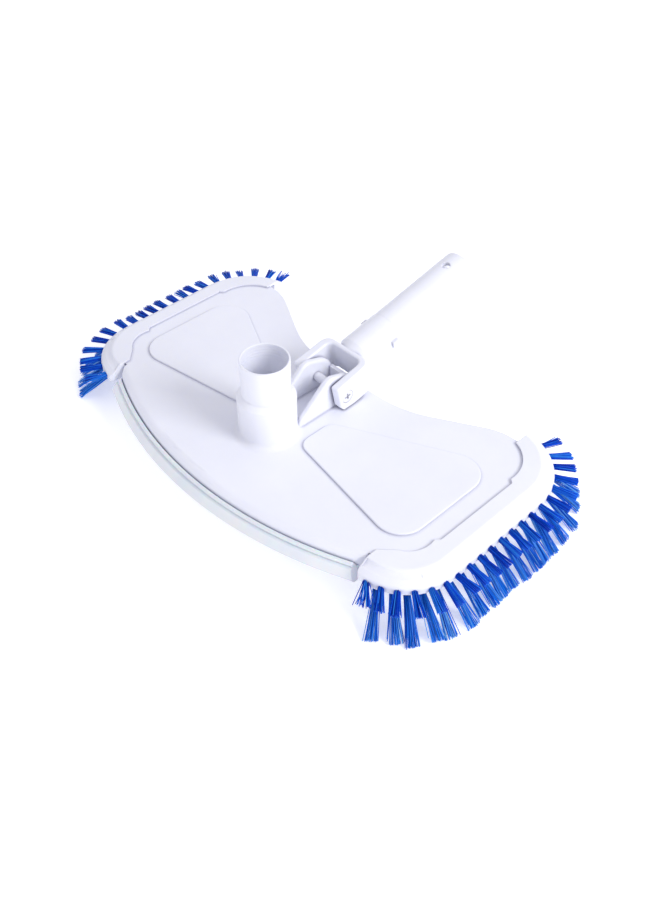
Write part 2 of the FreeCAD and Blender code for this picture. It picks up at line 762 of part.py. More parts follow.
def row_outline(side, row, offset_in, offset_out):
    """A band of the upper or lower row, between two offsets from the bar's outer edge."""
    front = [f"(bar_front_round + ({offset}))" for offset in (offset_out, offset_in)]
    rear = [f"(bar_rear_round + ({offset}))" for offset in (offset_out, offset_in)]

    def front_end(radius):
        return (f"bar_front_x + {radius} * cos({row}_front_angle)",
                f"-{radius} * sin({row}_front_angle)")

    def rear_end(radius):
        return (f"bar_rear_x + {radius} * cos({row}_rear_angle)",
                f"bar_rear_y + {radius} * sin({row}_rear_angle)")

    corners = [
        (*front_end(front[0]), front[0]),
        (f"bar_front_x + {front[0]}", "0"),
        (f"bar_rear_x + {rear[0]}", "bar_rear_y", rear[0]),
        rear_end(rear[0]),
        (*rear_end(rear[1]), f"-{rear[1]}"),
        (f"bar_rear_x + {rear[1]}", "bar_rear_y"),
        (f"bar_front_x + {front[1]}", "0", f"-{front[1]}"),
        front_end(front[1]),
    ]
    return mirrored(side, corners)


def make_upper_bristles(side, word):
    """The short row that stands out of the bar's outer face."""
    body = new_body(word + "_upper_bristles")
    band = new_sketch(body, "XY_Plane", "-upper_top - upper_thick")
    add_loop(band, row_outline(side, "upper", "0", "upper_long"))
    pad(body, band, "upper_thick")


def make_lower_bristles(side, word):
    """The long row that splays down and outwards to the floor."""
    body = new_body(word + "_lower_bristles")
    roots = new_sketch(body, "XY_Plane", "-bar_depth")
    add_loop(roots, row_outline(side, "lower", "-lower_root_in", "-lower_root_out"))
    tips = new_sketch(body, "XY_Plane", "-deck_drop")
    add_loop(tips, row_outline(side, "lower", "lower_tip_in", "lower_tip_out"))
    fan = body.newObject("PartDesign::AdditiveLoft", "fan")
    fan.Profile = roots
    fan.Sections = [tips]
    fan.Ruled = True


# ---------------------------------------------------------------- ballast

def make_plate(label, outlines, low, thick):
    """A flat piece: its outline, and one inside it if it is a ring."""
    body = new_body(label)
    sketch = new_sketch(body, "XY_Plane", low)
    for outline in outlines:
        add_loop(sketch, outline)
    pad(body, sketch, thick)
    return body


def make_ballast(side, word):
    make_plate(
        word + "_ballast_weight", [ballast_outline(side, "0", "0")],
        "-(pocket_depth - boss_clear)", "ballast_thick")
    margin = "pocket_gap + deck_wall"
    make_plate(
        word + "_ballast_gasket",
        [ballast_outline(side, margin, margin),
         ballast_outline(side, "pocket_gap", "pocket_gap")],
        "-(pocket_depth + gasket_thick)", "gasket_thick")
    cover = make_plate(
        word + "_ballast_cover", [ballast_outline(side, "cover_side", "cover_end")],
        "-(pocket_depth + gasket_thick + cover_thick)", "cover_thick")
    round_edges(
        cover, "cover_corner", lambda edge, spot: abs(edge.tangentAt(edge.FirstParameter).z) > 0.9)
    sinks = new_sketch(cover, "XY_Plane", "-(pocket_depth + gasket_thick + cover_thick)")
    for x, y in COVER_SCREWS:
        add_circle(sinks, f"{side * x}", f"{y}", "screw_dia")
    doc.recompute()
    hole = cover.newObject("PartDesign::Hole", "screw_holes")
    hole.Profile = sinks
    hole.DepthType = "ThroughAll"
    hole.Reversed = True
    bind(hole, "Diameter", "screw_dia + 2 * screw_gap")
    hole.HoleCutType = "Countersink"
    hole.HoleCutCustomValues = True
    bind(hole, "HoleCutDiameter", "screw_head_dia + 2 * screw_gap")
    hole.HoleCutCountersinkAngle = 90


def cylinder(name, dia, height, x, y, z):
    item = doc.addObject("Part::Cylinder", name)
    bind(item, "Radius", f"({dia}) / 2")
    bind(item, "Height", height)
    for axis, text in zip("xyz", (x, y, z)):
        bind(item, "Placement.Base." + axis, text)
    return item


def screw_group(label, side, spots, head, head_low, shank_low, shank_high):
    """Screws driven from below, each its own solid; head makes the piece below the shank."""
    screws = []
    for x, y in spots:
        shank = cylinder(
            "shank", "screw_dia", f"({shank_high}) - ({shank_low})", f"{side * x}", f"{y}", shank_low)
        whole = doc.addObject("Part::Fuse", "screw")
        whole.Base = shank
        whole.Tool = head(f"{side * x}", f"{y}")
        slot = doc.addObject("Part::Box", "slot")
        for prop, text in (("Length", "drive_long"), ("Width", "drive_wide"), ("Height", "1")):
            bind(slot, prop, text)
        bind(slot, "Placement.Base.x", f"{side * x} - drive_long / 2")
        bind(slot, "Placement.Base.y", f"{y} - drive_wide / 2")
        bind(slot, "Placement.Base.z", f"({head_low}) + drive_deep - 1")
        slotted = doc.addObject("Part::Cut", "slotted_screw")
        slotted.Base = whole
        slotted.Tool = slot
        screws.append(slotted)
    group = doc.addObject("Part::Compound", label)
    group.Label = label
    group.Links = screws
    bind(group, "Placement.Base.y", PLACE_Y)
    bind(group, "Placement.Base.z", PLACE_Z)


def make_screws(side, word):
    cover_low = "-(pocket_depth + gasket_thick + cover_thick)"
    shelf_low = "-(deck_plate + slot_gap + shelf_thick)"
    pan_low = f"{shelf_low} - screw_head_high"

    def sunk_head(x, y):
        cone = doc.addObject("Part::Cone", "sunk_head")
        bind(cone, "Radius1", "screw_head_dia / 2")
        bind(cone, "Radius2", "screw_dia / 2")
        bind(cone, "Height", "(screw_head_dia - screw_dia) / 2")
        for axis, text in zip("xyz", (x, y, cover_low)):
            bind(cone, "Placement.Base." + axis, text)
        return cone

    def pan_head(x, y):
        return cylinder("pan_head", "screw_head_dia", "screw_head_high", x, y, pan_low)

    screw_group(
        word + "_cover_screws", side, COVER_SCREWS, sunk_head, cover_low,
        f"{cover_low} + shank_overlap", "-deck_plate - pilot_rest")
    screw_group(
        word + "_bar_screws", side, BAR_SCREWS, pan_head, pan_low,
        shelf_low, "-bar_screw_below")


# ---------------------------------------------------------------- pole handle and pivot

def handle_body(label):
    """A body drawn from the pivot along the handle's own axis, tilted to its rest angle."""
    body = doc.addObject("PartDesign::Body", label)
    body.Label = label
    body.Placement.Rotation = Rotation(Vector(1, 0, 0), value("rest_angle"))
    bind(body, "Placement.Rotation.Angle", "rest_angle")
    bind(body, "Placement.Base.y", f"pivot_y + ({PLACE_Y})")
    bind(body, "Placement.Base.z", f"pivot_z + ({PLACE_Z})")
    return body


def make_handle():
    body = handle_body("pole_handle")
    fork = new_sketch(body, "XY_Plane", "-yoke_bottom")
    half = [
        ("yoke_slot", "-yoke_front"),
        ("yoke_half", "-yoke_front"),
        ("yoke_half - yoke_taper", "yoke_back - yoke_round", "yoke_round"),
        ("yoke_half - yoke_taper - yoke_round", "yoke_back"),
    ]
    inner = "yoke_back - yoke_web"
    left = [(f"-({c[0]})", c[1]) for c in half[::-1]]
    left[0] = (*left[0], "yoke_round")
    add_loop(fork, half + left + [
        ("-yoke_slot", f"{inner} - yoke_slot_round", "-yoke_slot_round"),
        ("-yoke_slot + yoke_slot_round", inner),
        ("yoke_slot - yoke_slot_round", inner, "-yoke_slot_round"),
        ("yoke_slot", f"{inner} - yoke_slot_round"),
    ])
    pad(body, fork, "yoke_bottom + yoke_top")

    toe = new_sketch(body, "YZ_Plane")
    add_loop(toe, [
        ("-yoke_front - 1", "-yoke_bottom - 1"),
        ("toe_start + 1", "-yoke_bottom - 1"),
        ("toe_start", "-yoke_bottom"),
        ("-toe_turn", "-toe_turn_low"),
        ("-yoke_front", "-toe_low"),
        ("-yoke_front - 1", "-toe_low"),
    ])
    pocket(body, toe, "3 * yoke_half", both_ways=True)
    front_y = value("-yoke_front")
    round_edges(body, "yoke_front_round", lambda edge, spot: near(spot.y, front_y)
                and abs(edge.tangentAt(edge.FirstParameter).z) > 0.9)
    rims = [value("yoke_top"), value("-yoke_bottom")]
    past_toe = value("toe_start + 3")
    round_edges(body, "yoke_edge", lambda edge, spot: near(spot.z, rims[0])
                or (near(spot.z, rims[1]) and spot.y > past_toe))

    spigot = new_sketch(body, "YZ_Plane")
    radius, seat, bore = "spigot_dia / 2", "pole_seat_dia / 2", "spigot_bore / 2"
    add_loop(spigot, [
        ("yoke_back - yoke_web / 2", "0"),
        ("spigot_bore_start", "0"),
        ("spigot_bore_start", bore),
        ("spigot_end", bore),
        ("spigot_end", f"{seat} - spigot_round", "spigot_round"),
        ("spigot_end - spigot_round", seat),
        ("nub_at + nub_long", seat),
        ("nub_at + nub_long", radius),
        ("blend_end", radius),
        ("yoke_back - yoke_web / 2", "yoke_top - yoke_edge / 2"),
    ])
    turn(body, "Revolution", spigot, "H_Axis", "360")

    nubs = new_sketch(body, "XY_Plane")
    for side in (1, -1):
        outer = f"{side} * (spigot_dia / 2 + nub_proud)"
        inner_x = f"{side} * (spigot_dia / 2 - 1)"
        add_loop(nubs, rectangle(inner_x, "nub_at - nub_long / 2", outer, "nub_at + nub_long / 2"))
    pad(body, nubs, "nub_high")

    clip = new_sketch(body, "XY_Plane")
    add_circle(clip, "0", "spigot_end - clip_back", "clip_dia")
    pocket(body, clip, "2 * spigot_dia", both_ways=True)
    pin_bore = new_sketch(body, "YZ_Plane")
    add_circle(pin_bore, "0", "0", "pin_dia + 2 * screw_gap")
    pocket(body, pin_bore, "3 * yoke_half", both_ways=True)
    for side in (1, -1):
        near_face = "yoke_half + 1" if side > 0 else "-yoke_half + pin_seat"
        seat = new_sketch(body, "YZ_Plane", near_face)
        add_circle(seat, "0", "0", "pin_head_dia + 2 * pin_seat_gap")
        pocket(body, seat, "pin_seat + 1")


def make_pivot():
    pin = handle_body("pivot_pin")
    head_face = "yoke_half - pin_seat + pin_head_high"
    nut_face = "yoke_half - pin_seat + pin_nut_high"
    shank = new_sketch(pin, "YZ_Plane", f"-({nut_face}) - pin_end")
    add_circle(shank, "0", "0", "pin_dia")
    pad(pin, shank, f"({nut_face}) + pin_end + yoke_half - pin_seat")
    head = new_sketch(pin, "YZ_Plane", "yoke_half - pin_seat")
    add_circle(head, "0", "0", "pin_head_dia")
    pad(pin, head, "pin_head_high")
    recess = new_sketch(pin, "YZ_Plane", head_face)
    arm, half = "recess_arm", "recess_half"
    add_loop(recess, [
        (f"-{arm}", f"-{half}"), (f"-{half}", f"-{half}"), (f"-{half}", f"-{arm}"),
        (half, f"-{arm}"), (half, f"-{half}"), (arm, f"-{half}"),
        (arm, half), (half, half), (half, arm),
        (f"-{half}", arm), (f"-{half}", half), (f"-{arm}", half),
    ])
    pocket(pin, recess, "recess_deep")
    nut = handle_body("pivot_push_nut")
    ring = new_sketch(nut, "YZ_Plane", f"-({nut_face})")
    add_circle(ring, "0", "0", "pin_head_dia")
    add_circle(ring, "0", "0", "pin_dia + 2 * screw_gap")
    pad(nut, ring, "pin_nut_high")


# ---------------------------------------------------------------- build, check and write

def check_and_write():
    doc.recompute()
    for item in doc.Objects:
        if any(word in item.State for word in ("Invalid", "Error")):
            raise RuntimeError(f"{item.Name} ({item.Label}) failed: {item.State}")
    parts = [item for item in doc.Objects
             if item.TypeId in ("PartDesign::Body", "Part::Compound")]
    os.makedirs("parts", exist_ok=True)
    for item in parts:
        shape = item.Shape
        if shape.isNull() or not shape.isValid() or not shape.Solids:
            raise RuntimeError(item.Label + " has no valid solid")
        shape.exportStep(f"parts/{item.Label}.step")
        box = shape.BoundBox
        print(f"{item.Label:24s} {len(shape.Solids)} solids {shape.Volume:10.1f} mm3"
              f"  x {box.XMin:7.1f} {box.XMax:7.1f}  y {box.YMin:7.1f} {box.YMax:7.1f}"
              f"  z {box.ZMin:6.1f} {box.ZMax:6.1f}")


make_deck_shell()
make_bumper_strip()
for side, word in ((-1, "left"), (1, "right")):
    make_brush_bar(side, word)
    make_upper_bristles(side, word)
    make_lower_bristles(side, word)
    make_ballast(side, word)
    make_screws(side, word)
make_handle()
make_pivot()
check_and_write()
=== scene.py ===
import math
import random

import bpy
from mathutils import Matrix, Vector


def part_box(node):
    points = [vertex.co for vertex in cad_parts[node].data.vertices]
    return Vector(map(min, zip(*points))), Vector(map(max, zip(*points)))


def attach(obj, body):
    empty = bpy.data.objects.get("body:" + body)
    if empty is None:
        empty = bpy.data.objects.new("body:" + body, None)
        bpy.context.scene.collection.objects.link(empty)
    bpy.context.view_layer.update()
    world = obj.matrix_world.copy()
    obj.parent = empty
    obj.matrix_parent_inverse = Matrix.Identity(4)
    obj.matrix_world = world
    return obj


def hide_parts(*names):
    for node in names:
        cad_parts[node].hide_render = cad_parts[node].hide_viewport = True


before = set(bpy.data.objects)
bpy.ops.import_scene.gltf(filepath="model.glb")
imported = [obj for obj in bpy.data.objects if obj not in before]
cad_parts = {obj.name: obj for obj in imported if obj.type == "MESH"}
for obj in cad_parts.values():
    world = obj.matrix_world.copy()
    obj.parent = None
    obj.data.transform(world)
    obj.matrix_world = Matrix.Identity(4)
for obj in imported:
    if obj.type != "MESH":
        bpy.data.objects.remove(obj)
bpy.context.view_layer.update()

MM = 0.001

# The deck's top face and the hose tail's axis, which the brush rows and the camera are placed
# from. The axis is a known way ahead of the middle of the ballast weights.
FLOOR_TO_DECK = 32.0 * MM
TAIL_TO_BALLAST = 29.0 * MM
ballast_low, ballast_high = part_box("left_ballast_weight")
TAIL_Y = (ballast_low.y + ballast_high.y) / 2 - TAIL_TO_BALLAST


# ---------------------------------------------------------------- node helpers

def new_material(name):
    material = bpy.data.materials.new(name)
    material.use_nodes = True
    tree = material.node_tree
    return material, tree, tree.nodes["Principled BSDF"]


def add(tree, kind, **settings):
    """A node with its inputs and properties set by name."""
    node = tree.nodes.new(kind)
    for key, setting in settings.items():
        socket = node.inputs.get(key.replace("_", " "))
        if socket is not None:
            socket.default_value = setting
        else:
            setattr(node, key, setting)
    return node


def set_inputs(node, **settings):
    for key, setting in settings.items():
        node.inputs[key.replace("_", " ")].default_value = setting


def noise(tree, scale, detail, stretch=(1, 1, 1)):
    place = add(tree, "ShaderNodeTexCoord")
    mapping = add(tree, "ShaderNodeMapping", Scale=stretch)
    texture = add(tree, "ShaderNodeTexNoise", Scale=scale, Detail=detail)
    tree.links.new(place.outputs["Object"], mapping.inputs["Vector"])
    tree.links.new(mapping.outputs["Vector"], texture.inputs["Vector"])
    return texture.outputs["Fac"]


def ramp(tree, value, low, high, start=0.35, end=0.65):
    """Blend from colour low to colour high as value goes from start to end."""
    node = add(tree, "ShaderNodeValToRGB")
    node.color_ramp.elements[0].position = start
    node.color_ramp.elements[1].position = end
    node.color_ramp.elements[0].color = (*low, 1)
    node.color_ramp.elements[1].color = (*high, 1)
    tree.links.new(value, node.inputs["Fac"])
    return node.outputs["Color"]


def spread(tree, value, low, high):
    """Bring a value between 0 and 1 to between low and high."""
    node = add(tree, "ShaderNodeMapRange", To_Min=low, To_Max=high)
    tree.links.new(value, node.inputs["Value"])
    return node.outputs["Result"]


def mix(tree, factor, first, second, blend="MIX"):
    """Mix two colours; each of the three values is a link or fixed."""
    node = add(tree, "ShaderNodeMix", data_type="RGBA", blend_type=blend)
    factor_slot, first_slot, second_slot, colour_result = 0, 6, 7, 2
    for slot, value in ((factor_slot, factor), (first_slot, first), (second_slot, second)):
        if isinstance(value, bpy.types.NodeSocket):
            tree.links.new(value, node.inputs[slot])
        else:
            node.inputs[slot].default_value = value
    return node.outputs[colour_result]


def bump(tree, shader, height, strength, distance, soft_edge=0.0):
    """Fine relief, over edges that are rounded off by soft_edge."""
    node = add(tree, "ShaderNodeBump", Strength=strength, Distance=distance)
    tree.links.new(height, node.inputs["Height"])
    if soft_edge:
        rounded = add(tree, "ShaderNodeBevel", samples=6, Radius=soft_edge)
        tree.links.new(rounded.outputs["Normal"], node.inputs["Normal"])
    tree.links.new(node.outputs["Normal"], shader.inputs["Normal"])


def edge_mask(tree, width):
    """How much a point lies on a sharp edge: 0 on flat faces, near 1 on the edge itself."""
    rounded = add(tree, "ShaderNodeBevel", samples=6, Radius=width)
    flat = add(tree, "ShaderNodeNewGeometry")
    turn = add(tree, "ShaderNodeVectorMath", operation="DOT_PRODUCT")
    tree.links.new(rounded.outputs["Normal"], turn.inputs[0])
    tree.links.new(flat.outputs["Normal"], turn.inputs[1])
    return ramp(tree, turn.outputs["Value"], (1, 1, 1), (0, 0, 0), start=0.86, end=0.995)


def painted_gap_shade(tree, reach, darkest):
    """Painted shade: falls from 1 on open faces to darkest deep in gaps and inner corners."""
    node = add(tree, "ShaderNodeAmbientOcclusion", samples=8, Distance=reach)
    return spread(tree, node.outputs["AO"], darkest, 1.0)


# ---------------------------------------------------------------- materials

SCUFF = (0.66, 0.68, 0.80, 1)
MOTTLE_SHADE = 0.965        # a mottled patch's tint as a share of the plastic's own
EDGE_SHADE = 1.05
PAINTED_SHADE_BLUE_POWER = 0.8        # painted shade in gaps keeps more of its blue, as light that bounces about in a gap loses less of it


def moulded_plastic(name, tint, roughness=0.34, grain=0.05):
    """White ABS: faint mottling and scuffs, fine moulded grain, and painted shade in gaps and
    inner corners.
    """
    material, tree, shader = new_material(name)
    patches = noise(tree, scale=22, detail=4)
    mottled = ramp(tree, patches, [c * MOTTLE_SHADE for c in tint], tint)
    streaks = noise(tree, scale=40, detail=3, stretch=(1, 0.15, 1))
    streaked = mix(tree, spread(tree, streaks, 0.0, 0.10), mottled, SCUFF)
    bare_edge = (*[min(1, c * EDGE_SHADE) for c in tint], 1)
    worn = mix(tree, edge_mask(tree, width=0.5 * MM), streaked, bare_edge)

    # Painted shade: the base colour is darkened in gaps and inner corners, its blue less than its
    # red and green.
    shade = painted_gap_shade(tree, reach=2.2 * MM, darkest=0.36)
    blue_shade = add(tree, "ShaderNodeMath", operation="POWER")
    blue_shade.inputs[1].default_value = PAINTED_SHADE_BLUE_POWER
    gap = add(tree, "ShaderNodeCombineColor")
    tree.links.new(shade, blue_shade.inputs[0])
    tree.links.new(shade, gap.inputs["Red"])
    tree.links.new(shade, gap.inputs["Green"])
    tree.links.new(blue_shade.outputs[0], gap.inputs["Blue"])
    shaded = mix(tree, 1.0, worn, gap.outputs["Color"], "MULTIPLY")
    tree.links.new(shaded, shader.inputs["Base Color"])

    polish = noise(tree, scale=60, detail=5)
    tree.links.new(
        spread(tree, polish, roughness - 0.08, roughness + 0.10), shader.inputs["Roughness"])
    bump(tree, shader, noise(tree, scale=1600, detail=2),
         strength=grain, distance=0.2 * MM, soft_edge=0.6 * MM)
    set_inputs(
        shader, IOR=1.48, Subsurface_Weight=0.2, Subsurface_Radius=(0.9, 0.95, 1.2),
        Subsurface_Scale=1.2 * MM)
    return material


def soft_pvc(name):
    """Pale, cloudy, flexible strip that lets some light through, with painted shade in its gaps.
    """
    material, tree, shader = new_material(name)
    cloudy = ramp(tree, noise(tree, scale=45, detail=4), (0.86, 0.92, 1.0), (0.92, 0.97, 1.0))
    # Painted shade: the strip's colour turns to a dark grey blue in gaps and inner corners.
    shade = painted_gap_shade(tree, reach=3.0 * MM, darkest=0.42)
    shaded = mix(tree, shade, (0.42, 0.49, 0.58, 1), cloudy)
    tree.links.new(shaded, shader.inputs["Base Color"])
    polish = noise(tree, scale=130, detail=4)
    tree.links.new(spread(tree, polish, 0.12, 0.30), shader.inputs["Roughness"])
    bump(tree, shader, noise(tree, scale=300, detail=3, stretch=(1, 1, 4)),
         strength=0.10, distance=0.6 * MM, soft_edge=0.4 * MM)
    set_inputs(
        shader, Transmission_Weight=0.15, IOR=1.5, Subsurface_Weight=0.3,
        Subsurface_Scale=3.0 * MM)
    return material


def bristle_nylon(name, dark, middle, light, glow):
    """Blue filaments, each of its own shade; glow is the share of light they let through."""
    material, tree, shader = new_material(name)
    strand = add(tree, "ShaderNodeAttribute", attribute_name="strand").outputs["Fac"]
    turning = 0.55
    # Strand colours run from dark to light: partly filaments of differing tone, partly painted
    # shade on the darkest and painted highlights on the lightest.
    darker_strands = ramp(tree, strand, dark, middle, start=0.0, end=turning)
    lighter_share = ramp(tree, strand, (0, 0, 0), (1, 1, 1), start=turning, end=1.0)
    shade = mix(tree, lighter_share, darker_strands, (*light, 1))
    blotches = noise(tree, scale=420, detail=2)
    mottled = mix(tree, spread(tree, blotches, 0.0, 0.35), shade, (*dark, 1))
    tree.links.new(mottled, shader.inputs["Base Color"])
    tree.links.new(spread(tree, strand, 0.26, 0.42), shader.inputs["Roughness"])
    bump(tree, shader, noise(tree, scale=900, detail=2), strength=0.08, distance=0.2 * MM)
    set_inputs(shader, IOR=1.53, Specular_IOR_Level=0.12)

    through = add(tree, "ShaderNodeBsdfTranslucent")
    tree.links.new(mottled, through.inputs["Color"])
    blend = add(tree, "ShaderNodeMixShader")
    blend.inputs[0].default_value = glow
    tree.links.new(shader.outputs[0], blend.inputs[1])
    tree.links.new(through.outputs[0], blend.inputs[2])
    tree.links.new(blend.outputs[0], tree.nodes["Material Output"].inputs["Surface"])
    return material


def metal(name, tint, roughness):
    material, tree, shader = new_material(name)
    brushed = noise(tree, scale=500, detail=3, stretch=(1, 1, 12))
    tree.links.new(ramp(tree, brushed, [c * 0.8 for c in tint], tint), shader.inputs["Base Color"])
    tree.links.new(
        spread(tree, brushed, roughness - 0.08, roughness + 0.1), shader.inputs["Roughness"])
    bump(tree, shader, brushed, strength=0.12, distance=0.3 * MM)
    set_inputs(shader, Metallic=1.0)
    return material


def coated_iron(name):
    material, tree, shader = new_material(name)
    patches = noise(tree, scale=90, detail=6)
    tree.links.new(
        ramp(tree, patches, (0.02, 0.02, 0.022), (0.075, 0.07, 0.068)),
        shader.inputs["Base Color"])
    polish = noise(tree, scale=200, detail=4)
    tree.links.new(spread(tree, polish, 0.45, 0.75), shader.inputs["Roughness"])
    bump(tree, shader, noise(tree, scale=350, detail=5), strength=0.35, distance=0.6 * MM)
    return material


def flat_rubber(name):
    material, tree, shader = new_material(name)
    patches = noise(tree, scale=160, detail=5)
    tree.links.new(
        ramp(tree, patches, (0.012, 0.012, 0.013), (0.03, 0.03, 0.032)),
        shader.inputs["Base Color"])
    polish = noise(tree, scale=240, detail=3)
    tree.links.new(spread(tree, polish, 0.6, 0.85), shader.inputs["Roughness"])
    bump(tree, shader, noise(tree, scale=700, detail=3), strength=0.2, distance=0.3 * MM)
    return material


WHITE = (0.865, 0.875, 0.95)
MATERIALS = {
    "deck": moulded_plastic("deck_white", WHITE),
    "handle": moulded_plastic("handle_white", WHITE, roughness=0.30),
    "bar": moulded_plastic("bar_white", WHITE, roughness=0.38),
    "cover": moulded_plastic("cover_white", (0.74, 0.75, 0.80), roughness=0.45, grain=0.12),
    "pin": moulded_plastic("pin_white", (0.82, 0.825, 0.88), roughness=0.4),
    "strip": soft_pvc("strip_pvc"),
    # The two rows share one blue nylon: the upper row's darker colours are painted shade and the
    # lower row's lighter ones painted light.
    "upper": bristle_nylon(
        "bristle_upper_painted_shade", dark=(0.0, 0.026, 0.42), middle=(0.001, 0.105, 0.86),
        light=(0.04, 0.34, 1.0), glow=0.16),
    "lower": bristle_nylon(
        "bristle_lower_painted_light", dark=(0.0, 0.075, 0.62), middle=(0.010, 0.27, 1.0),
        light=(0.25, 0.64, 1.0), glow=0.27),
    "steel": metal("screw_steel", (0.62, 0.63, 0.65), roughness=0.28),
    "iron": coated_iron("ballast_iron"),
    "rubber": flat_rubber("gasket_rubber"),
}

# What each carried-over node is made of; one entry serves both sides.
NODE_MATERIALS = {
    "deck_shell": "deck",
    "bumper_strip": "strip",
    "pole_handle": "handle",
    "pivot_pin": "pin",
    "pivot_push_nut": "steel",
    "brush_bar": "bar",
    "ballast_weight": "iron",
    "ballast_gasket": "rubber",
    "ballast_cover": "cover",
    "cover_screws": "steel",
    "bar_screws": "steel",
}


def finish_cad_nodes():
    """Give every node its material, except the bristle bands, which the tufts replace."""
    for name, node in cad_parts.items():
        kind = name.split("_", 1)[1] if name.startswith(("left_", "right_")) else name
        if kind not in NODE_MATERIALS:
            continue
        material = MATERIALS[NODE_MATERIALS[kind]]
        for material_slot in node.material_slots:
            material_slot.material = material


# ---------------------------------------------------------------- brushes

# The bar's outer edge on the right, in millimetres from the tail's axis: two arcs and the
# straight side between them.
FRONT_CENTRE = (119.5, 0.0)
FRONT_RADIUS = 40.0
REAR_CENTRE = (113.5, 78.0)
REAR_RADIUS = 46.0
SIDE_LENGTH = 78.0

# Each row's tufts stand from first to last along that edge, in millimetres from where its
# straight side starts. Their roots are inside the edge and below the deck's top face, and
# they point down by the drop, in degrees.
ROWS = {
    "upper": {
        "tufts": 21, "first": -55.3, "last": 135.6, "inside": 0.8, "below": 7.4, "drop": 8,
    },
    "lower": {
        "tufts": 18, "first": -50.4, "last": 114.0, "inside": 6.2, "below": 9.6, "drop": 39.5,
    },
}
SHAPES = {
    "upper": {
        "count": 36, "length": 16.6, "hole": 1.75, "fan": 3.3, "thick": 1.5, "lean": 0.09,
        "drop_jitter": 3.0, "stray": 0.16, "wild": 0.06, "bow": 0.12, "filament": 0.29,
        "steps": 3,
    },
    "lower": {
        "count": 42, "length": 34.2, "hole": 1.85, "fan": 4.7, "thick": 1.9, "lean": 0.06,
        "drop_jitter": 1.8, "stray": 0.32, "wild": 0.12, "bow": 0.28, "filament": 0.28,
        "steps": 4,
    },
}

# What changes in a tuft that has come loose: fewer filaments, spread wide.
LOOSE_SHAPE = {"count": 26, "fan": 4.6, "thick": 2.4, "stray": 0.75, "wild": 0.35, "bow": 0.4}

# How far the foremost tufts lean back to the side.
UPPER_LEAN_LIMIT = math.radians(54)
LOWER_LEAN_SHARE = 0.62
LOWER_LEAN = math.radians(5)
LOWER_EASE = 15.0

WAY_JITTER = 0.45
LENGTH_JITTER = 0.025
GOLDEN_ANGLE = 2.399963     # spreads a tuft's filaments evenly over its hole
TURN_JITTER = 0.25
CUT = 0.03                  # the most a filament is cut short, as a share of its length
WILD_CUT = 0.12
WILD_FAN = 1.25
STRAY_THROUGH = 0.6         # a tuft is less untidy through its thickness than along the bar
SPREAD_POWER = 1.25         # above 1, filaments stay together near the root
FILAMENT_SIDES = 5
FILAMENT_TAPER = 0.12
FIRST_SEED = 11
SEED_STEP = 7


def toward(row, way, outward):
    """The way a tuft points, seen from above: the foremost ones lean back to the side."""
    if way >= 0:
        return outward
    angle = way / FRONT_RADIUS
    if row == "upper":
        angle = max(angle, -UPPER_LEAN_LIMIT)
    else:
        angle = LOWER_LEAN_SHARE * angle - LOWER_LEAN * min(1.0, -way / LOWER_EASE)
    return Vector((math.cos(angle), math.sin(angle), 0))


def edge_point(way):
    """Where the bar's edge is after the given way along its side, and its outward direction."""
    if way < 0:
        angle = way / FRONT_RADIUS
        centre, radius = FRONT_CENTRE, FRONT_RADIUS
    elif way <= SIDE_LENGTH:
        return Vector((FRONT_CENTRE[0] + FRONT_RADIUS, way, 0)), Vector((1, 0, 0))
    else:
        angle = (way - SIDE_LENGTH) / REAR_RADIUS
        centre, radius = REAR_CENTRE, REAR_RADIUS
    outward = Vector((math.cos(angle), math.sin(angle), 0))
    return Vector((*centre, 0)) + outward * radius, outward


def add_filament(mesh, points, radius, strand):
    """A closed tube along the points, thinner at its tip."""
    sides = FILAMENT_SIDES
    verts, faces, strands = mesh
    base = len(verts)
    last = len(points) - 1
    across = Vector((0, 0, 1)).cross(points[-1] - points[0]).normalized()
    for index, point in enumerate(points):
        along = (points[min(index + 1, last)] - points[max(index - 1, 0)]).normalized()
        side = (across - along * across.dot(along)).normalized()
        up = along.cross(side)
        size = radius * (1 - FILAMENT_TAPER * index / last)
        for step in range(sides):
            turn = 2 * math.pi * step / sides
            verts.append(point + (side * math.cos(turn) + up * math.sin(turn)) * size)
            strands.append(strand)
    for index in range(last):
        low = base + index * sides
        for step in range(sides):
            after = (step + 1) % sides
            faces.append((low + step, low + after, low + sides + after, low + sides + step))
    faces.append(tuple(base + step for step in reversed(range(sides))))
    top = base + last * sides
    faces.append(tuple(top + step for step in range(sides)))


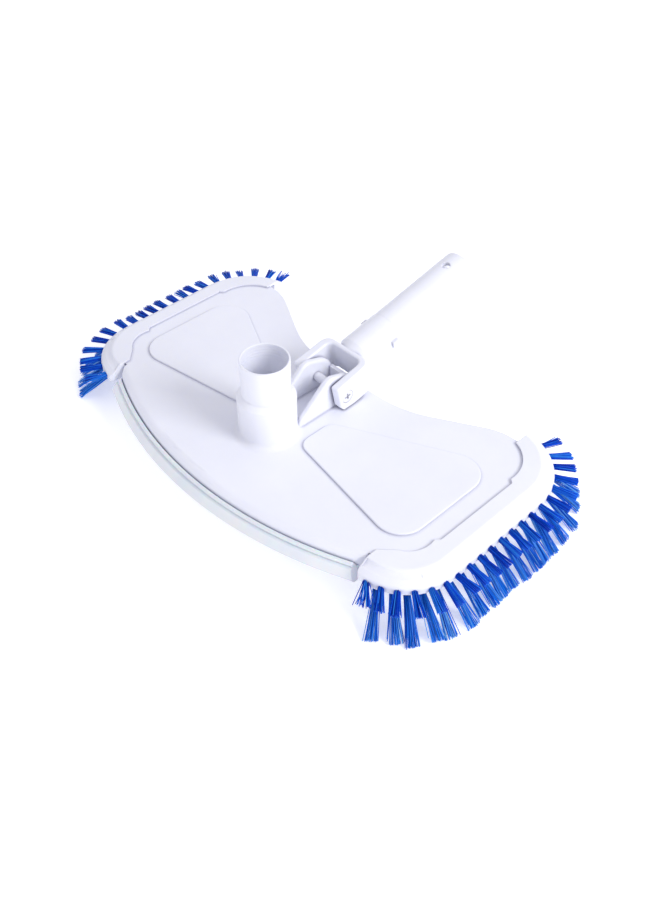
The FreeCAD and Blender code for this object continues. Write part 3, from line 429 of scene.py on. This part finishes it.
def add_tuft(mesh, root, outward, drop, shape, rng, floor):
    """A bundle of filaments that leaves a round hole and fans out along the bar."""
    tangent = Vector((-outward.y, outward.x, 0))
    lean = rng.uniform(-1, 1) * shape["lean"]
    drop = drop + math.radians(rng.uniform(-1, 1) * shape["drop_jitter"])
    axis = outward * math.cos(drop) + Vector((0, 0, -1)) * math.sin(drop)
    axis = (axis + tangent * lean).normalized()
    normal = axis.cross(tangent).normalized()
    length = shape["length"] * (1 + rng.uniform(-1, 1) * LENGTH_JITTER)
    stray, bend = shape["stray"], shape["bow"]
    for number in range(shape["count"]):
        ring = math.sqrt((number + 0.5) / shape["count"])
        turn = number * GOLDEN_ANGLE + rng.uniform(-TURN_JITTER, TURN_JITTER)
        across, through = ring * math.cos(turn), ring * math.sin(turn)
        wild = rng.random() < shape["wild"]
        fan = across * shape["fan"] * (WILD_FAN if wild else 1.0) + rng.gauss(0, stray)
        thick = through * shape["thick"] + rng.gauss(0, stray * STRAY_THROUGH)
        start = root + tangent * across * shape["hole"] + normal * through * shape["hole"]
        reach = length * (1 - (WILD_CUT if wild else CUT) * rng.random())
        end = root + axis * reach + tangent * fan + normal * thick
        bow = normal * rng.gauss(0, bend) + tangent * rng.gauss(0, bend)
        points = []
        for step in range(shape["steps"] + 1):
            part = step / shape["steps"]
            ease = part ** SPREAD_POWER
            middle = root + axis * reach * part
            spot = middle + (start - root) * (1 - ease) + (end - root - axis * reach) * ease
            points.append(spot + bow * math.sin(math.pi * part))
        for point in points:
            point.z = max(point.z, floor + shape["filament"])
        points = [point * MM for point in points]
        add_filament(mesh, points, shape["filament"] * MM, rng.random())


def make_row(word, row, seed):
    """One row of tufts on one side, mirrored for the left."""
    rng = random.Random(seed)
    mesh = ([], [], [])
    layout, shape = ROWS[row], SHAPES[row]
    first, last, end_tuft = layout["first"], layout["last"], layout["tufts"] - 1
    floor = -FLOOR_TO_DECK / MM
    for number in range(layout["tufts"]):
        way = first + (last - first) * number / end_tuft + rng.uniform(-WAY_JITTER, WAY_JITTER)
        edge, outward = edge_point(way)
        root = edge - outward * layout["inside"] - Vector((0, 0, layout["below"]))
        loose = row == "upper" and (number == 0 or (word == "left" and number == end_tuft))
        add_tuft(mesh, root, toward(row, way, outward), math.radians(layout["drop"]),
                 {**shape, **LOOSE_SHAPE} if loose else shape, rng, floor)
    verts, faces, strands = mesh
    sign = 1 if word == "right" else -1
    place = Vector((0, TAIL_Y, FLOOR_TO_DECK))
    verts = [Vector((v.x * sign, v.y, v.z)) + place for v in verts]
    if sign < 0:
        faces = [tuple(reversed(face)) for face in faces]
    data = bpy.data.meshes.new(f"{word}_{row}_tufts")
    data.from_pydata(verts, [], faces)
    shade = data.attributes.new("strand", "FLOAT", "POINT")
    shade.data.foreach_set("value", strands)
    data.polygons.foreach_set("use_smooth", [len(face) == 4 for face in faces])
    data.materials.append(MATERIALS[row])
    piece = bpy.data.objects.new(f"{word}_{row}_tufts", data)
    bpy.context.scene.collection.objects.link(piece)
    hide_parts(f"{word}_{row}_bristles")
    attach(piece, "head")


def make_brushes():
    seed = FIRST_SEED
    for word in ("left", "right"):
        for row in ("upper", "lower"):
            make_row(word, row, seed)
            seed += SEED_STEP


# ---------------------------------------------------------------- stage, light and camera

FLOOR_REACH = 40.0
KEY_PLACE = (1.78, 0.38, 1.25)
KEY_AIM = (0, 0, 0.03)
KEY_SIZE = 1.0
KEY_POWER = 28
SKY_COLOUR = (0.935, 0.935, 1.0, 1)
SKY_STRENGTH = 0.775

# The camera's place in millimetres from where the tail's axis meets the deck, its angles in
# degrees and its lens and sensor in millimetres.
CAMERA_PLACE = (356.88, -291.43, 424.55)
CAMERA_YAW = -45.795
CAMERA_PITCH = 43.99
CAMERA_ROLL = 0.294
CAMERA_LENS = 38.69
CAMERA_SENSOR = 36.0


def make_stage():
    """A pale floor that gives off a little light, so that the shadows on it stay faint."""
    material, tree, shader = new_material("floor_pale")
    patches = noise(tree, scale=3, detail=3)
    tree.links.new(
        ramp(tree, patches, (0.90, 0.90, 0.91), (0.93, 0.93, 0.94)), shader.inputs["Base Color"])
    set_inputs(
        shader, Roughness=0.8, Emission_Color=(0.95, 0.96, 1.0, 1), Emission_Strength=0.40)
    low, high = -FLOOR_REACH, FLOOR_REACH
    data = bpy.data.meshes.new("floor")
    data.from_pydata(
        [(low, low, 0), (high, low, 0), (high, high, 0), (low, high, 0)], [], [(0, 1, 2, 3)])
    data.materials.append(material)
    floor = bpy.data.objects.new("floor", data)
    bpy.context.scene.collection.objects.link(floor)


def make_lights():
    """An even sky and one large soft light, high on the right."""
    world = bpy.data.worlds.new("studio")
    bpy.context.scene.world = world
    world.use_nodes = True
    set_inputs(world.node_tree.nodes["Background"], Color=SKY_COLOUR, Strength=SKY_STRENGTH)
    lamp = bpy.data.lights.new("key", "AREA")
    lamp.shape = "DISK"
    lamp.size = KEY_SIZE
    lamp.energy = KEY_POWER
    holder = bpy.data.objects.new("key", lamp)
    holder.location = KEY_PLACE
    facing = Vector(KEY_AIM) - Vector(KEY_PLACE)
    holder.rotation_euler = facing.to_track_quat("-Z", "Y").to_euler()
    bpy.context.scene.collection.objects.link(holder)


def make_camera():
    """The camera stands ahead and to the right of the head and looks down on it."""
    yaw, pitch, roll = (math.radians(angle) for angle in (CAMERA_YAW, CAMERA_PITCH, CAMERA_ROLL))
    level_share = math.cos(pitch)
    forward = Vector(
        (math.sin(yaw) * level_share, math.cos(yaw) * level_share, -math.sin(pitch)))
    level = Vector((math.cos(yaw), -math.sin(yaw), 0))
    upward = level.cross(forward)
    right = level * math.cos(roll) + upward * math.sin(roll)
    above = upward * math.cos(roll) - level * math.sin(roll)
    data = bpy.data.cameras.new("camera")
    data.sensor_width = CAMERA_SENSOR
    data.lens = CAMERA_LENS
    camera = bpy.data.objects.new("camera", data)
    place = Vector(CAMERA_PLACE) * MM + Vector((0, TAIL_Y, FLOOR_TO_DECK))
    turn = Matrix((right, above, -forward)).transposed().to_4x4()
    camera.matrix_world = Matrix.Translation(place) @ turn
    bpy.context.scene.collection.objects.link(camera)
    bpy.context.scene.camera = camera


finish_cad_nodes()
make_brushes()
make_stage()
make_lights()
make_camera()
bpy.context.scene.view_settings.view_transform = "Standard"
